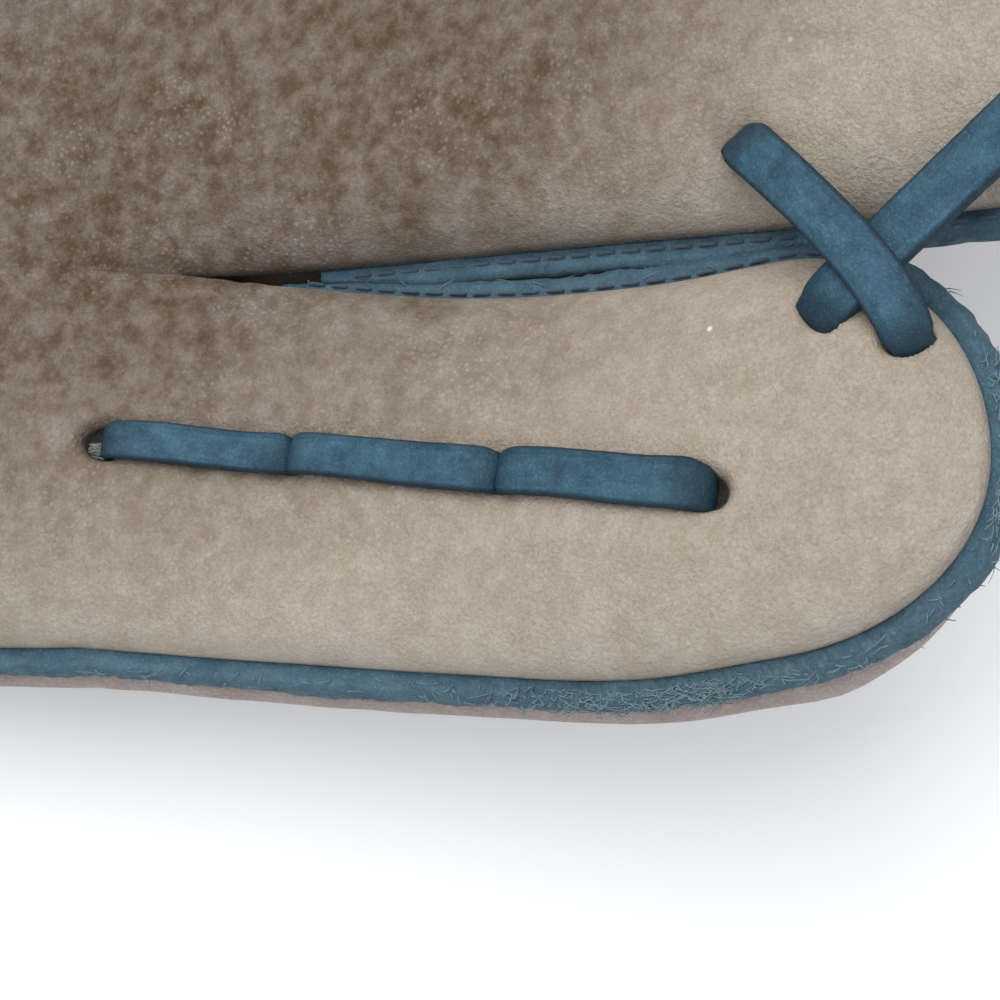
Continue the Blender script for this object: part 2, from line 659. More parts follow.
def way_out(line):
    """The direction that leaves a line of points to its left."""
    along = np.gradient(line, axis=0)
    along /= np.maximum(np.linalg.norm(along, axis=1, keepdims=True), 1e-9)
    return np.stack([-along[:, 1], along[:, 0]], axis=1)


def run_along(line):
    return np.concatenate([[0], np.cumsum(np.linalg.norm(np.diff(line, axis=0), axis=1))])


def welt_room(name, line):
    """How far a welt can stand out of its seam before it meets its neighbour's."""
    others = [outline_of(other, True, 3.0) for other in NAMES if other != name]
    gap = np.min([distance_to_line(line, other) for other in others], axis=0)
    return np.clip(gap / 2 - CLEARANCE, 0.2, WELT_PROUD)


def tube_faces(rings, ring):
    """Faces of a tube, closed at both ends, whose points come ring by ring."""
    k = np.arange(rings - 1)[:, None] * ring
    c = np.arange(ring)[None, :]
    d = (c + 1) % ring
    faces = np.stack([k + c, k + d, k + d + ring, k + c + ring], axis=-1).reshape(-1, 4).tolist()
    faces.append(list(range(ring))[::-1])
    faces.append(list(range((rings - 1) * ring, rings * ring)))
    return faces


# Where along the little finger its welt has frayed over its whole face, how far round that, and how much
FRAYED = {"along": 88.0, "reach": 30.0, "share": 0.75}
# The welt's section from its lower side round its edge to its upper: how far in from the edge, None in the seam,
# and height as a share of half its thickness
WELT_SECTION = [(None, -1), (-0.95, -1), (-0.5, -0.93), (-0.16, -0.72), (0, -0.36), (0.05, 0), (0, 0.36),
                (-0.16, 0.72), (-0.5, 0.93), (-0.95, 1), (None, 1)]


def make_welt(name, materials, proud):
    """The welt sewn into a stall's seam: smooth on its two faces, cut raw and a little uneven at its edge."""
    line = outline_of(name, step=0.9 if name == "little" else 1.6)
    out = way_out(line)
    run = run_along(line)
    room = welt_room(name, line)
    share = room / WELT_PROUD
    strip = STRIPS[name]
    along, aside = (line - strip.root) @ strip.axis, (line - strip.root) @ strip.across
    wave = 0.24 * MIDDLING(run, run * 0 + 5) + 0.12 * TINY(run, run * 0)
    reach = room * proud / WELT_PROUD + wave * share
    half = WELT_THICK / 2 + 0.1 * SMALL(run, run * 0 + 9)
    lift = 0.22 * BROAD(run, run * 0 + 30) * share
    rings, raw = [], []
    for number, (inset, height) in enumerate(WELT_SECTION):
        beyond = -WELT_INSET * np.ones(len(line)) if inset is None else reach + inset * share
        rough = 0.06 * TINY(run + number * 3, run * 0 + number) * (abs(height) < 0.9)
        p = line + out * (beyond + rough)[:, None]
        rings.append(place(p[:, 0], p[:, 1], half * height + lift * (inset is not None)))
        cut = 0.0 if inset is None or inset < -0.6 else 1 - abs(inset) / 0.62
        # The fingertip's welt has frayed over its whole face on the outer side
        worn = FRAYED["share"] * bump(along - FRAYED["along"], FRAYED["reach"]) * (aside > 0) * share
        shown = name == "little" and inset is not None
        raw.append(np.maximum(cut, worn if shown else 0.0) * np.ones(len(line)))
    points = np.stack(rings, axis=1).reshape(-1, 3)
    ring = len(WELT_SECTION)
    faces = tube_faces(len(line), ring)
    u = np.repeat(run / 1000, ring)
    around = np.tile(np.linspace(0, 0.012, ring), len(line))
    uv = [(u[c], around[c]) for face in faces for c in face]
    piece = make_mesh(f"glove_welt_{name}", points, faces, materials, uv=uv,
                      values={"raw": np.stack(raw, axis=1).reshape(-1)})
    return settle(piece, "navy_leather", f"{name}_welt")


def sweep(stations, width, thick, ring=16, narrow=None):
    """A flat lace through stations of a place and the direction of its width. Returns points, faces and UVs."""
    at = np.array([s[0] for s in stations], float)
    wide = np.array([s[1] for s in stations], float)
    ahead = np.gradient(at, axis=0)
    ahead /= np.maximum(np.linalg.norm(ahead, axis=1, keepdims=True), 1e-9)
    wide -= ahead * (wide * ahead).sum(axis=1, keepdims=True)
    wide /= np.maximum(np.linalg.norm(wide, axis=1, keepdims=True), 1e-9)
    flat = np.cross(ahead, wide)
    run = run_along(at)
    width = width * (np.ones(len(at)) if narrow is None else narrow)
    width = width * (1 + 0.018 * MIDDLING(run, run * 0 + at[0, 0]))
    turn = (np.arange(ring) + 0.5) / ring * 2 * math.pi
    x = np.sign(np.cos(turn)) * np.abs(np.cos(turn)) ** 0.34
    y = np.sign(np.sin(turn)) * np.abs(np.sin(turn)) ** 0.45
    y = y * (1.08 - 0.24 * x**2)
    points = (at[:, None] + wide[:, None] * (x[None, :, None] * width[:, None, None] / 2)
              + flat[:, None] * (y[None, :, None] * thick / 2))
    rough = 0.05 * np.stack([TINY(run, run * 0 + k * 1.7) for k in range(ring)], axis=1)
    points = points + flat[:, None] * rough[..., None]
    faces = tube_faces(len(at), ring)
    sideways, upwards = np.diff(x, append=x[0]) * width.mean() / 2, np.diff(y, append=y[0]) * thick / 2
    around = np.cumsum(np.hypot(sideways, upwards))
    u, v = np.repeat(run / 1000, ring), np.tile(around / 1000, len(at))
    raw = np.tile(np.clip((np.abs(x) - 0.84) * 9, 0, 1), len(at))
    return points.reshape(-1, 3), faces, [(u[c], v[c]) for face in faces for c in face], raw


def make_lace(node, stations, materials, narrow=None, handled=None):
    """One lace. handled says how dark each station is, as where the lace bends into the leather."""
    points, faces, uv, raw = sweep(stations, LACE_WIDTH, LACE_THICK, narrow=narrow)
    handled = np.zeros(len(stations)) if handled is None else handled
    handled = np.repeat(handled, len(points) // len(stations))
    piece = make_mesh(f"glove_{node}", points, faces, materials, uv=uv, values={"raw": raw, "handled": handled})
    return settle(piece, "lace_leather", node)


def station(point, way, w):
    """A lace's place at a template point and a height, its width running along way."""
    point, way = np.asarray(point, float), np.asarray(way, float)
    here = place(*point, w)
    return here, place(*(point + way), w) - here


def relax(stations, rounds=3):
    """Cuts the corners of a path of stations until it bends as a lace does."""
    at = np.array([s[0] for s in stations])
    wide = np.array([s[1] / np.linalg.norm(s[1]) for s in stations])
    for _ in range(rounds):
        a = np.stack([lerp(at[:-1], at[1:], 0.25), lerp(at[:-1], at[1:], 0.75)], axis=1).reshape(-1, 3)
        b = np.stack([lerp(wide[:-1], wide[1:], 0.25), lerp(wide[:-1], wide[1:], 0.75)], axis=1).reshape(-1, 3)
        at, wide = np.concatenate([at[:1], a, at[-1:]]), np.concatenate([wide[:1], b, wide[-1:]])
    keep = np.concatenate([[True], np.linalg.norm(np.diff(at, axis=0), axis=1) > 0.12])
    return list(zip(at[keep], wide[keep]))


def dense(stations, step=1.2):
    """Fills long runs between stations, so that only the corners are cut."""
    filled = []
    for (a, wide_a), (b, wide_b) in zip(stations, stations[1:]):
        count = max(int(np.linalg.norm(b - a) / step), 1)
        filled += [(lerp(a, b, k / count), lerp(wide_a, wide_b, k / count)) for k in range(count)]
    return filled + [stations[-1]]


def sewn_lace(start, end, stitches, sink, side, skin, relief, late=1.2, early=0.8):
    """A lace sewn along a line of the template. Each stitch arches a little between two holes, is pinched
    at them, and the lace turns down into the leather at both ends."""
    pitch = np.linalg.norm(end - start) / stitches
    way = (end - start) / (pitch * stitches)
    start, length = start + way * late, pitch * stitches - late - early
    beside = np.array([-way[1], way[0]])
    turn = 2.4
    reach = np.concatenate([[0, 0], turn * (1 - np.cos(np.linspace(0.25, math.pi / 2, 6))),
                            np.arange(turn + 0.6, length - turn, 0.6),
                            length - turn * (1 - np.cos(np.linspace(math.pi / 2, 0.25, 6))), [length, length]])
    drop = np.zeros(len(reach))
    drop[:2], drop[-2:] = (sink + turn, turn + 0.4), (turn + 0.4, sink + turn)
    drop[2:8] = turn * (1 - np.sin(np.linspace(0.25, math.pi / 2, 6)))
    drop[-8:-2] = drop[2:8][::-1]
    points = start + way * reach[:, None]
    x = ((reach + late) / pitch) % 1
    arch = 0.65 * np.sin(np.pi * x) ** 0.6
    narrow = np.ones(len(reach))
    handled = 0.9 * bump(reach, 3.0) + 0.9 * bump(length - reach, 4.0)
    for k in range(1, stitches):
        handled = handled + 0.75 * bump(np.abs(reach + late - k * pitch), 2.6)
        away = np.abs(reach + late - k * pitch)
        drop = drop + 2.2 * np.exp(-((away / 1.05) ** 1.25))
        narrow = narrow - 0.13 * bump(away, 1.3)
    narrow = narrow - 0.1 * bump(reach, 1.2) - 0.1 * bump(length - reach, 1.2)
    base = skin(points) + side * relief(points[:, 0], points[:, 1])
    height = base + side * (LACE_THICK / 2 - 0.1 + arch - drop)
    sway = 0.14 * np.sin(reach / pitch * 2 * math.pi + 1) * smooth(reach / 6) * smooth((length - reach) / 6)
    points = points + beside * sway[:, None]
    return [station(p, beside, h) for p, h in zip(points, height)], narrow, np.clip(handled, 0, 1)


def bed(u, v):
    """The soft unevenness of the leather that a lace lies on, without its pits."""
    return 0.42 * BROAD(u, v) + 0.22 * MIDDLING(u, v) - 0.5


def flat_bed(u, v):
    return np.zeros(np.shape(u))


def make_stall_lace(name, materials):
    start, end = stall_lace_ends(name)

    def skin(points):
        return skin_height(STRIPS[name], points, 1)

    stations, narrow, handled = sewn_lace(start, end, 3, 3.2, 1, skin, bed, 2.3, 2.3)
    # The lace is pulled thinner at the palm and lies wider near the tip
    narrow = narrow * np.linspace(0.97, 1.2, len(stations))
    return make_lace(f"{name}_lace", stations, materials, narrow, handled)


def heel_skin(points):
    number = np.clip(np.searchsorted(HEEL_EDGES, points[:, 0], side="right") - 1, 0, 4)
    return np.array([skin_height(STRIPS[NAMES[n]], p[None], 1)[0] for n, p in zip(number, points)])


def make_heel_lace(materials):
    start, end, stitches = SEWN_LINES[-1]
    stations, narrow, handled = sewn_lace(start, end, stitches, 3.5, 1, heel_skin, bed)
    return make_lace("heel_lace", stations, materials, narrow, handled)


# How much wider than a lace the lower and the upper strap between two fingertips are
TIP_SPREAD = (1.32, 1.2)
TIP_BOW = 2.8


def make_tip_laces(materials):
    """Two crossed straps between each pair of neighbouring fingertips."""
    pieces = []
    for first, second, *levels in TIP_PAIRS:
        a, b = STRIPS[first], STRIPS[second]
        for k, (start, end) in enumerate(tip_lace_ends(first, second, *levels)):
            way = (end - start) / np.linalg.norm(end - start)
            start, end = start + way * 1.6, end - way * 1.6
            tops = [skin_height(a, start[None], 1)[0] - 0.5, skin_height(b, end[None], 1)[0] - 0.5]
            beside = np.array([-way[1], way[0]])
            over = TIP_LACE["rise"] * k
            lift = LACE_THICK / 2 + 0.1
            path = [station(start, beside, tops[0] - FINGER_WALL - 0.6),
                    station(start, beside, tops[0] + lift - 1.6)]
            for share in (0.1, 0.22, 0.36, 0.5, 0.64, 0.78, 0.9):
                # The upper strap bows a little towards the tips, where the lower one pushes it
                p = lerp(start, end, share) + (0, TIP_BOW * k * math.sin(math.pi * share**0.7))
                hump = over * math.sin(math.pi * share) ** 0.5 + 0.5 * math.sin(math.pi * share)
                path.append(station(p, beside, lerp(tops[0], tops[1], share) + lift + hump))
            path += [station(end, beside, tops[1] + lift - 1.6),
                     station(end, beside, tops[1] - FINGER_WALL - 0.6)]
            path = relax(dense(path, 2.0))
            at = np.array([s[0] for s in path])
            low = np.minimum(run_along(at), run_along(at)[-1] - run_along(at)) - FINGER_WALL - 1
            spread = TIP_SPREAD[k] - 0.16 * bump(np.maximum(low, 0), 0.9)
            pieces.append(make_lace(f"tip_lace_{first}_{second}_{k + 1}", path, materials, spread,
                                    0.9 * bump(np.maximum(low, 0), 3.6)))
    return pieces


WEB = {"gap": WELT_PROUD + 1.6, "start": 44.0, "height": 76.0, "columns": [0, 0.24, 0.41, 0.59, 0.76, 1],
       "rows": [0, 0.12, 0.24, 0.38, 0.52, 0.66, 0.8, 1], "windows": (1, 3), "from_row": 2, "to_row": 5}
WEB_LACE = {"first": 57.0, "pitch": 19.0, "turns": 4, "stall_edge": 6.5, "web_edge": 6.0, "slant": 2.0}


def web_side(name):
    """The seam that faces the web, as a line with its run and the direction out of it."""
    strip = STRIPS[name]
    q = strip.samples(0.1, 1.5, first=THUMB_ROW)
    line = strip.at(q)["right" if name == "thumb" else "left"]
    turn = 1 if name == "thumb" else -1
    return line, run_along(line), -turn * way_out(line), turn


def on_side(side, length):
    line, run, out, _ = side
    at = np.array([np.interp(length, run, line[:, k]) for k in (0, 1)])
    way = np.array([np.interp(length, run, out[:, k]) for k in (0, 1)])
    return at, way / np.linalg.norm(way)


def make_web(materials):
    """The plate between thumb and index finger, with a window on each side of its post."""
    shell = Shell()
    sides = [web_side("thumb"), web_side("index")]

    def template(row, column):
        ends = []
        for side in sides:
            at, way = on_side(side, WEB["start"] + WEB["height"] * row)
            ends.append(at + way * WEB["gap"])
        return lerp(ends[0], ends[1], column)

    for r in range(len(WEB["rows"]) - 1):
        for c in range(len(WEB["columns"]) - 1):
            if c in WEB["windows"] and WEB["from_row"] <= r <= WEB["to_row"]:
                continue
            rows = np.linspace(WEB["rows"][r], WEB["rows"][r + 1], 8)
            columns = np.linspace(WEB["columns"][c], WEB["columns"][c + 1], 8)
            p = np.array([[template(row, column) for column in columns] for row in rows])
            soft = 0.3 * MIDDLING(p[..., 0], p[..., 1])
            rubbed = 0.4 + 0.3 * MIDDLING(p[..., 0], p[..., 1])
            faces = [place(p[..., 0], p[..., 1], side * WEB_THICK / 2 + soft) for side in (1, -1)]
            shell.grid(*faces, np.stack([rubbed, 0 * rubbed], axis=-1))
    piece = shell.mesh("glove_web", materials)
    round_edges(piece, 1.2)
    return settle(piece, "tan_leather", "web_panel")


def make_web_lace(name, materials):
    """A lace that winds round the seam of its finger and the edge of the web."""
    side = web_side(name)
    strip = STRIPS[name]
    lift = CLEARANCE + PLAY + LACE_THICK / 2

    def at(length, out_by, height):
        point, way = on_side(side, length)
        p = point + way * out_by
        ahead = np.array([way[1], -way[0]]) * -side[3]
        return station(p, ahead, height(p) if callable(height) else height)

    def skin(face, add):
        return lambda p: skin_height(strip, p[None], face)[0] + add

    over_web, over_welt = WEB_THICK / 2 + lift, WELT_THICK / 2 + lift + 1
    path = []
    for k in range(WEB_LACE["turns"]):
        start = WEB_LACE["first"] + k * WEB_LACE["pitch"]
        end = start + WEB_LACE["slant"]
        if k == 0:
            path.append(at(start, -WEB_LACE["stall_edge"], skin(1, -FINGER_WALL - 1)))
        path.append(at(start, -WEB_LACE["stall_edge"], skin(1, lift)))
        path.append(at((start + end) / 2, WELT_PROUD / 2, over_welt))
        path.append(at(end, WEB["gap"] + WEB_LACE["web_edge"], over_web))
        path.append(at(end, WEB["gap"] + WEB_LACE["web_edge"], -over_web))
        if k < WEB_LACE["turns"] - 1:
            path.append(at((end + start + WEB_LACE["pitch"]) / 2, WELT_PROUD / 2, -over_welt))
            path.append(at(start + WEB_LACE["pitch"], -WEB_LACE["stall_edge"], skin(-1, -lift)))
    return make_lace(f"web_lace_{name}", relax(dense(path, 2.2)), materials)


def round_edges(piece, width):
    """Bevels the sharp edges of a cut piece of leather."""
    bpy.ops.object.select_all(action="DESELECT")
    piece.select_set(True)
    bpy.context.view_layer.objects.active = piece
    bevel = piece.modifiers.new("Cut edge", "BEVEL")
    bevel.limit_method = "ANGLE"
    bevel.angle_limit = math.radians(50)
    bevel.width = width / 1000
    bevel.segments = 3
    bpy.ops.object.modifier_apply(modifier=bevel.name)


FINGER_SPANS = [("index", -1, 1), ("middle", -1, 1), ("ring", -1, 1)]
STRAP_SPANS = [("thumb", 0, 1), *FINGER_SPANS, ("little", -1, 0)]
HEEL_SPANS = [("thumb", -0.5, 1), *FINGER_SPANS, ("little", -1, 0.5)]
OPENING_SPANS = [("index", -0.87, 1), ("middle", -1, 1), ("ring", -1, 0.87)]


def skin_point(name, t, q, side, lift, slide=0.0):
    """A point off the outer leather for a positive lift and off the inner leather for a negative one."""
    strip = STRIPS[name]
    row = strip.at([q])
    left, right = inset_sides(strip, row) if lift < 0 else (row["left"], row["right"])
    p = lerp(left[0], right[0], (np.asarray(t)[:, None] + 1) / 2)
    outer, inner = (h[0] for h in row_heights(row, t, side))
    floor = np.maximum(ground_at(p[:, 1]) - lift + (BACK_WALL if lift < 0 else 0), 0)
    height = (inner if lift < 0 else outer) + lift
    return place(p[:, 0], p[:, 1] + slide, side * height, floor)


def hand_columns(spans, each=13):
    return [(name, np.linspace(a, b, each)) for name, a, b in spans]


def across_hand(shell, spans, layer_pairs, wear=0.3):
    """Adds a sheet across the hand. layer_pairs gives the two faces of each station for one strip's columns."""
    for name, t in hand_columns(spans):
        pairs = layer_pairs(name, t)
        outer = np.array([pair[0] for pair in pairs])
        inner = np.array([pair[1] for pair in pairs])
        shell.grid(outer, inner, np.tile([wear, 0.0], (*outer.shape[:2], 1)))


# The rows of the back that the wrist strap covers
STRAP_ROWS = (0.4, 2.3)


def make_strap(materials):
    """The strap across the back's opening, a little thicker along its middle."""
    shell = Shell()
    first, last = STRAP_ROWS
    rest = CLEARANCE + PLAY

    def pairs(name, t):
        rows = []
        for q in np.linspace(first, last, 26):
            crown = 0.25 * math.sin(math.pi * (q - first) / (last - first))
            rows.append([skin_point(name, t, q, -1, rest + high) for high in (0, STRAP_THICK + crown)])
        return rows

    across_hand(shell, STRAP_SPANS, pairs)
    piece = shell.mesh("glove_strap", materials)
    round_edges(piece, 0.9)
    return settle(piece, "tan_leather", "wrist_strap")


def make_binding(node, spans, edge_row, fold_row, side, materials):
    """A strip folded over an edge of leather, from its outer face round the edge to its inner face."""
    shell = Shell()

    def face(name, t, depth):
        rows = [skin_point(name, t, q, side, depth) for q in np.linspace(fold_row, edge_row, 9)]
        inside = [skin_point(name, t, q, side, -depth) for q in np.linspace(edge_row, fold_row, 9)]
        middle = (rows[-1] + inside[0]) / 2
        beyond = (skin_point(name, t, edge_row, side, depth, -depth) - rows[-1]
                  + skin_point(name, t, edge_row, side, -depth, -depth) - inside[0]) / 2
        turn = [middle + (rows[-1] - middle) * math.cos(a) + beyond * math.sin(a)
                for a in np.linspace(0, math.pi, 9)[1:-1]]
        return rows + turn + inside

    def pairs(name, t):
        return list(zip(face(name, t, CLEARANCE + PLAY + BINDING_WALL), face(name, t, CLEARANCE + PLAY)))

    across_hand(shell, spans, pairs, 0.6)
    return settle(shell.mesh(f"glove_{node}", materials), "navy_leather", node)


STRAP_LACE = {"rows": (0.62, 2.1), "aside": 0.45, "sink": 5.0}


def make_strap_lace(name, turn, materials):
    """The lace of one stitch that holds the strap at one of its ends. turn says on which side of the strip."""
    strip = STRIPS[name]
    ends = []
    for q in STRAP_LACE["rows"]:
        row = strip.at([q])
        ends.append(lerp(row["left"][0], row["right"][0], (1 + turn * STRAP_LACE["aside"]) / 2))

    def skin(points):
        return skin_height(strip, points, -1) - CLEARANCE - PLAY - STRAP_THICK

    stations, narrow, handled = sewn_lace(*ends, 1, STRAP_LACE["sink"], -1, skin, flat_bed)
    return make_lace(f"strap_lace_{name}", stations, materials, narrow, handled)


def add_tube(points, faces, stations, width, thick, ring, narrow=None):
    """Adds one thin strand through stations to lists of points and faces."""
    tube, sides, _, _ = sweep(stations, width, thick, ring=ring, narrow=narrow)
    faces += [[c + len(points) for c in side] for side in sides]
    points += tube.tolist()


# The sides of the stalls that face another stall with its own welt
FACING_SIDES = (("little", "left"), ("ring", "right"), ("ring", "left"), ("middle", "right"),
                ("middle", "left"), ("index", "right"))
THREAD = {"width": 0.55, "thick": 0.5, "stitch": 2.5, "pitch": 3.6, "from_seam": 1.0, "arch": 0.32}


def make_thread(materials):
    """The sewing thread along the welts that face each other between the fingers."""
    points, faces = [], []
    for name, column in FACING_SIDES:
        strip = STRIPS[name]
        q = strip.samples(1, 0.5, first=strip.crotch)
        line = strip.at(q[(q > strip.crotch + 0.16) & (q < strip.crotch + 0.9)])[column]
        run = run_along(line)
        out = way_out(line) * (1 if column == "left" else -1)
        for start in np.arange(2, run[-1] - 3, THREAD["pitch"]):
            reach = np.linspace(start, start + THREAD["stitch"], 6)
            at = np.stack([np.interp(reach, run, line[:, k]) for k in (0, 1)], axis=1)
            way = np.stack([np.interp(reach, run, out[:, k]) for k in (0, 1)], axis=1)
            p = at + way * THREAD["from_seam"]
            rise = WELT_THICK / 2 - 0.1 + THREAD["arch"] * np.sin(np.linspace(0, math.pi, 6)) ** 0.5
            stations = [station(c, w, h) for c, w, h in zip(p, way, rise)]
            add_tube(points, faces, stations, THREAD["width"], THREAD["thick"], 6)
    return settle(make_mesh("glove_welt_thread", points, faces, materials), "navy_leather")


HOLE_FIBRES = 44


def make_hole_fibres(materials, count):
    """The yellowish fibres that the lace's leather frays into in its first hole."""
    rng = np.random.default_rng(41)
    strip = STRIPS["little"]
    start, end = stall_lace_ends("little")
    way = (end - start) / np.linalg.norm(end - start)
    beside = np.array([-way[1], way[0]])
    points, faces = [], []
    for _ in range(count):
        root = start + way * rng.uniform(-1.2, 0.4) - beside * rng.uniform(-0.2, 2.0)
        low = skin_height(strip, root[None], 1)[0] - rng.uniform(1.3, 2.1)
        at = place(*root, low)
        back, up = place(*(root - way), low) - at, place(*root, low + 1) - at
        lean = -back + up * rng.uniform(0.0, 0.35) + np.cross(back, up) * rng.normal(0.1, 0.22)
        bend = np.cross(back, up) * rng.normal(0, 0.3)
        long = rng.uniform(1.4, 2.8)
        stations = [(at + lean * long * s + bend * s * s, back + 0.01 * up) for s in (0, 0.35, 0.7, 1)]
        add_tube(points, faces, stations, 0.24, 0.16, 4, np.array([0.6, 1, 0.8, 0.3]))
    return settle(make_mesh("glove_hole_fibres", points, faces, materials), "lace_leather")


# Where the little finger's welt is worn: how far along the finger, the reach, how many fibres and whether only
# on its outer side
WORN_PLACES = ((74, 15, 4, True), (84, 3, 3, True), (117.5, 1.1, 6, False))


def make_fibres(materials, count):
    """Raw fibres that stand out of the little finger's welt, thick in a few worn places."""
    rng = np.random.default_rng(29)
    line = outline_of("little", step=0.9)
    out, run = way_out(line), run_along(line)
    _, t = locate(STRIPS["little"], line)
    room = welt_room("little", line)
    along = (line - STRIPS["little"].root) @ STRIPS["little"].axis
    weight = np.where(t > 0, 0.3, 0.12)
    for at, reach, much, outer_only in WORN_PLACES:
        weight = weight + much * bump(along - at, reach) * ((t > 0) | (not outer_only))
    share = np.cumsum(weight * np.gradient(run))
    points, faces = [], []
    for pick in rng.uniform(0, share[-1], count):
        k = int(np.searchsorted(share, pick))
        k = min(max(k, 1), len(line) - 2)
        # Most stand out of the cut edge, the others lie matted on the welt's upper face
        matted = rng.uniform() < 0.45
        low = 1.12 if matted else rng.uniform(-1, 1)
        root = line[k] + out[k] * (rng.uniform(0.9, 3.2) if matted else room[k] + 0.35)
        height = low * WELT_THICK * (0.5 if matted else 0.42)
        at = place(*root, height)
        outward = place(*(root + out[k]), height) - at
        up = place(*root, height + 1) - at
        side = np.cross(outward, up)
        long = rng.uniform(0.4, 1.5)
        way = outward * rng.uniform(0.3, 1) + up * rng.normal(0.1, 0.5 - 0.45 * matted)
        way = way + side * rng.normal(0, 0.9)
        way /= np.linalg.norm(way)
        bend = side * rng.normal(0, 1.1) + up * rng.normal(0, 0.5 - 0.45 * matted)
        stations = [(at + way * long * s + bend * long * s * s, up + 0.01 * side) for s in (0, 0.35, 0.7, 1)]
        add_tube(points, faces, stations, 0.11, 0.09, 3, np.array([1, 0.9, 0.6, 0.2]))
    return settle(make_mesh("glove_welt_fibres", points, faces, materials), "navy_leather")


def new_group(name, inputs, outputs):
    """A shader node group with the given inputs, each with its default, and outputs that are all numbers."""
    tree = bpy.data.node_groups.new(name, "ShaderNodeTree")
    for socket, kind, default in inputs:
        made = tree.interface.new_socket(socket, in_out="INPUT", socket_type=kind)
        if default is not None:
            made.default_value = default
    for socket in outputs:
        tree.interface.new_socket(socket, in_out="OUTPUT", socket_type="NodeSocketFloat")
    return tree, Nodes(tree)


class Nodes:
    """Short ways to add and join shader nodes in one tree."""

    def __init__(self, tree):
        self.tree = tree

    def put(self, socket, value):
        if isinstance(value, bpy.types.NodeSocket):
            self.tree.links.new(value, socket)
        elif value is not None:
            socket.default_value = value

    def add(self, kind, ins=None, **settings):
        node = self.tree.nodes.new(kind)
        for key, value in settings.items():
            setattr(node, key, value)
        for key, value in (ins or {}).items():
            self.put(node.inputs[key], value)
        return node

    def group(self, tree, **ins):
        return self.add("ShaderNodeGroup", ins, node_tree=tree)

    def math(self, operation, a, b=0.0, clamp=False):
        return self.add("ShaderNodeMath", {0: a, 1: b}, operation=operation, use_clamp=clamp).outputs[0]

    def noise(self, vector, scale, detail=4.0, rough=0.55, distortion=0.0):
        node = self.add("ShaderNodeTexNoise", {"Vector": vector, "Scale": scale, "Detail": detail,
                                               "Roughness": rough, "Distortion": distortion})
        return node.outputs["Fac"]

    def cells(self, vector, scale, feature="F1", random=1.0):
        ins = {"Vector": vector, "Scale": scale, "Randomness": random}
        return self.add("ShaderNodeTexVoronoi", ins, feature=feature).outputs["Distance"]

    def span(self, value, low, high, to_low=0.0, to_high=1.0):
        """Value's stretch from low to high, turned into to_low to to_high and held there."""
        node = self.add("ShaderNodeMapRange", {"Value": value, "From Min": low, "From Max": high,
                                               "To Min": to_low, "To Max": to_high})
        return node.outputs["Result"]

    def blend(self, share, a, b, how="MIX"):
        node = self.add("ShaderNodeMix", {"Factor": share}, data_type="RGBA", blend_type=how)
        colours = [socket for socket in node.inputs if socket.type == "RGBA"]
        self.put(colours[0], a)
        self.put(colours[1], b)
        return [socket for socket in node.outputs if socket.type == "RGBA"][0]

    def bump(self, height, strength, distance, normal=None):
        ins = {"Height": height, "Strength": strength, "Distance": distance, "Normal": normal}
        return self.add("ShaderNodeBump", ins).outputs[0]

    def stretched(self, vector, scale, turn=(0, 0, 0)):
        return self.add("ShaderNodeMapping", {"Vector": vector, "Scale": scale, "Rotation": turn}).outputs[0]


def grain_group():
    """Leather grain: pebbles with fine valleys and pores. Height for a bump, a valley mask and a pore mask."""
    inputs = [("Vector", "NodeSocketVector", None), ("Pebble", "NodeSocketFloat", 900.0),
              ("Depth", "NodeSocketFloat", 1.0)]
    tree, n = new_group("Leather grain", inputs, ("Height", "Valley", "Pores"))
    start = n.add("NodeGroupInput")
    vector, pebble, depth = (start.outputs[k] for k in ("Vector", "Pebble", "Depth"))
    warp = n.noise(vector, 260, 2, 0.5)
    moved = n.add("ShaderNodeVectorMath", {0: vector}, operation="ADD")
    x, y = (n.math("MULTIPLY", warp, reach) for reach in (0.0016, -0.0012))
    n.put(moved.inputs[1], n.add("ShaderNodeCombineXYZ", {"X": x, "Y": y}).outputs[0])
    edge = n.cells(moved.outputs[0], pebble, "DISTANCE_TO_EDGE")
    valley = n.span(edge, 0.0, 0.22, 1, 0)
    fine = n.cells(moved.outputs[0], n.math("MULTIPLY", pebble, 2.3), "DISTANCE_TO_EDGE")
    speck = n.cells(vector, n.math("MULTIPLY", pebble, 0.95), random=0.85)
    pores = n.span(speck, 0.12, 0.36, 1, 0)
    uneven = n.noise(vector, 420, 3, 0.6)
    height = n.math("SUBTRACT", n.math("MULTIPLY", n.span(edge, 0, 0.45), 0.4), n.math("MULTIPLY", pores, -0.3))
    height = n.math("ADD", height, n.math("MULTIPLY", n.span(fine, 0, 0.3), 0.2))
    height = n.math("ADD", height, uneven)
    end = n.add("NodeGroupOutput")
    n.put(end.inputs["Height"], n.math("MULTIPLY", height, depth))
    n.put(end.inputs["Valley"], valley)
    n.put(end.inputs["Pores"], pores)
    return tree


